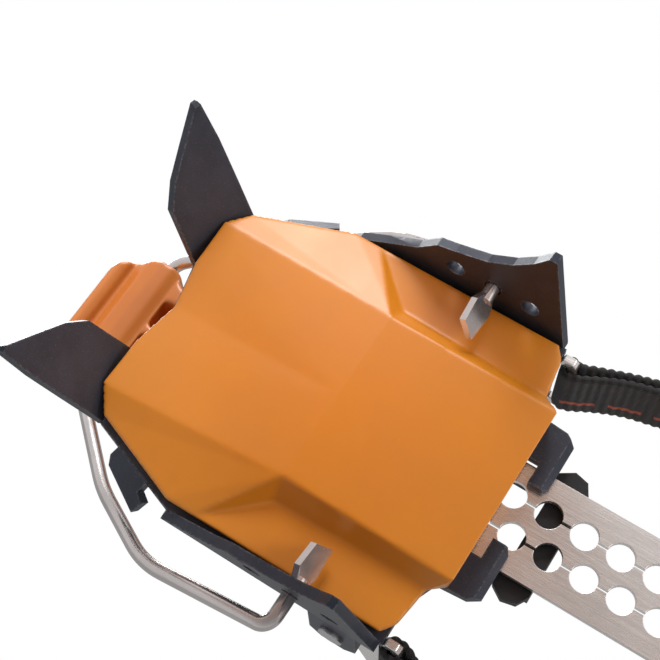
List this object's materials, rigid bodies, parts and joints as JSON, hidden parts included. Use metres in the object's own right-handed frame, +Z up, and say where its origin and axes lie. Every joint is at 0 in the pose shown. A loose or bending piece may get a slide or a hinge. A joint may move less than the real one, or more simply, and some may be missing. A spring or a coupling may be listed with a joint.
{
  "type": "crampon",
  "caption": "Step-in crampon: pointed heel and front frames on a perforated length bar, moulded snow plates, wire bails, heel lever and ankle strap.",
  "frame": {"origin": "on the ground under the middle of the crampon's length and width, standing on its points", "axes": "+X towards the toe, +Y to the wearer's left, +Z up towards the boot sole"},
  "size_m": [0.2978, 0.1218, 0.0708],
  "materials": {
    "frame_steel": "dark granular coating, satin",
    "snow_plate": "orange, fine satin moulding",
    "stainless": "fine brushed",
    "wire": "drawn wire, satin",
    "lever": "orange, satin gloss",
    "adjuster": "black coating",
    "zinc": "plated",
    "webbing": "black woven webbing with a dashed orange-red stripe"
  },
  "bodies": {
    "heel_section": {"heel_frame": "frame_steel", "heel_snow_plate": "snow_plate", "bar_bridge": "frame_steel", "bridge_rivets": "zinc", "adjuster_bracket": "adjuster", "bracket_rivets": "zinc", "adjuster_pin": "zinc", "adjuster_spring": "zinc", "strap_link_left": "stainless", "strap_link_right": "stainless", "link_rivets": "zinc", "ankle_strap": "webbing", "buckle_strap": "webbing", "strap_tail": "webbing", "buckle_ring_inner": "wire", "buckle_ring_outer": "wire"},
    "front_section": {"front_frame": "frame_steel", "front_snow_plate": "snow_plate", "linking_bar": "stainless", "bar_bolts": "zinc", "bar_nuts": "zinc"},
    "length_adjuster": {"adjuster_lever": "adjuster"},
    "heel_bail_wire": {"heel_bail": "wire"},
    "heel_clamp_lever": {"heel_lever": "lever"},
    "toe_bail_wire": {"toe_bail": "wire"}
  },
  "joints": [
    {"name": "length_slide", "type": "slide", "parent": "heel_section", "child": "front_section", "axis": [1, 0, 0], "range_m": [-0.036, 0.018]},
    {"name": "length_lock", "type": "hinge", "parent": "heel_section", "child": "length_adjuster", "pos_m": [-0.053, 0, 0.03695], "axis": [0, -1, 0], "range_deg": [0, 24]},
    {"name": "heel_bail_swing", "type": "hinge", "parent": "heel_section", "child": "heel_bail_wire", "pos_m": [-0.0563, 0, 0.0211], "axis": [0, 1, 0], "range_deg": [0, 60]},
    {"name": "heel_lever_turn", "type": "hinge", "parent": "heel_bail_wire", "child": "heel_clamp_lever", "pos_m": [-0.13578, 0, 0.05649], "axis": [0, -1, 0], "range_deg": [0, 110]},
    {"name": "toe_bail_swing", "type": "hinge", "parent": "front_section", "child": "toe_bail_wire", "pos_m": [0.084, 0, 0.0235], "axis": [0, -1, 0], "range_deg": [0, 60]}
  ]
}
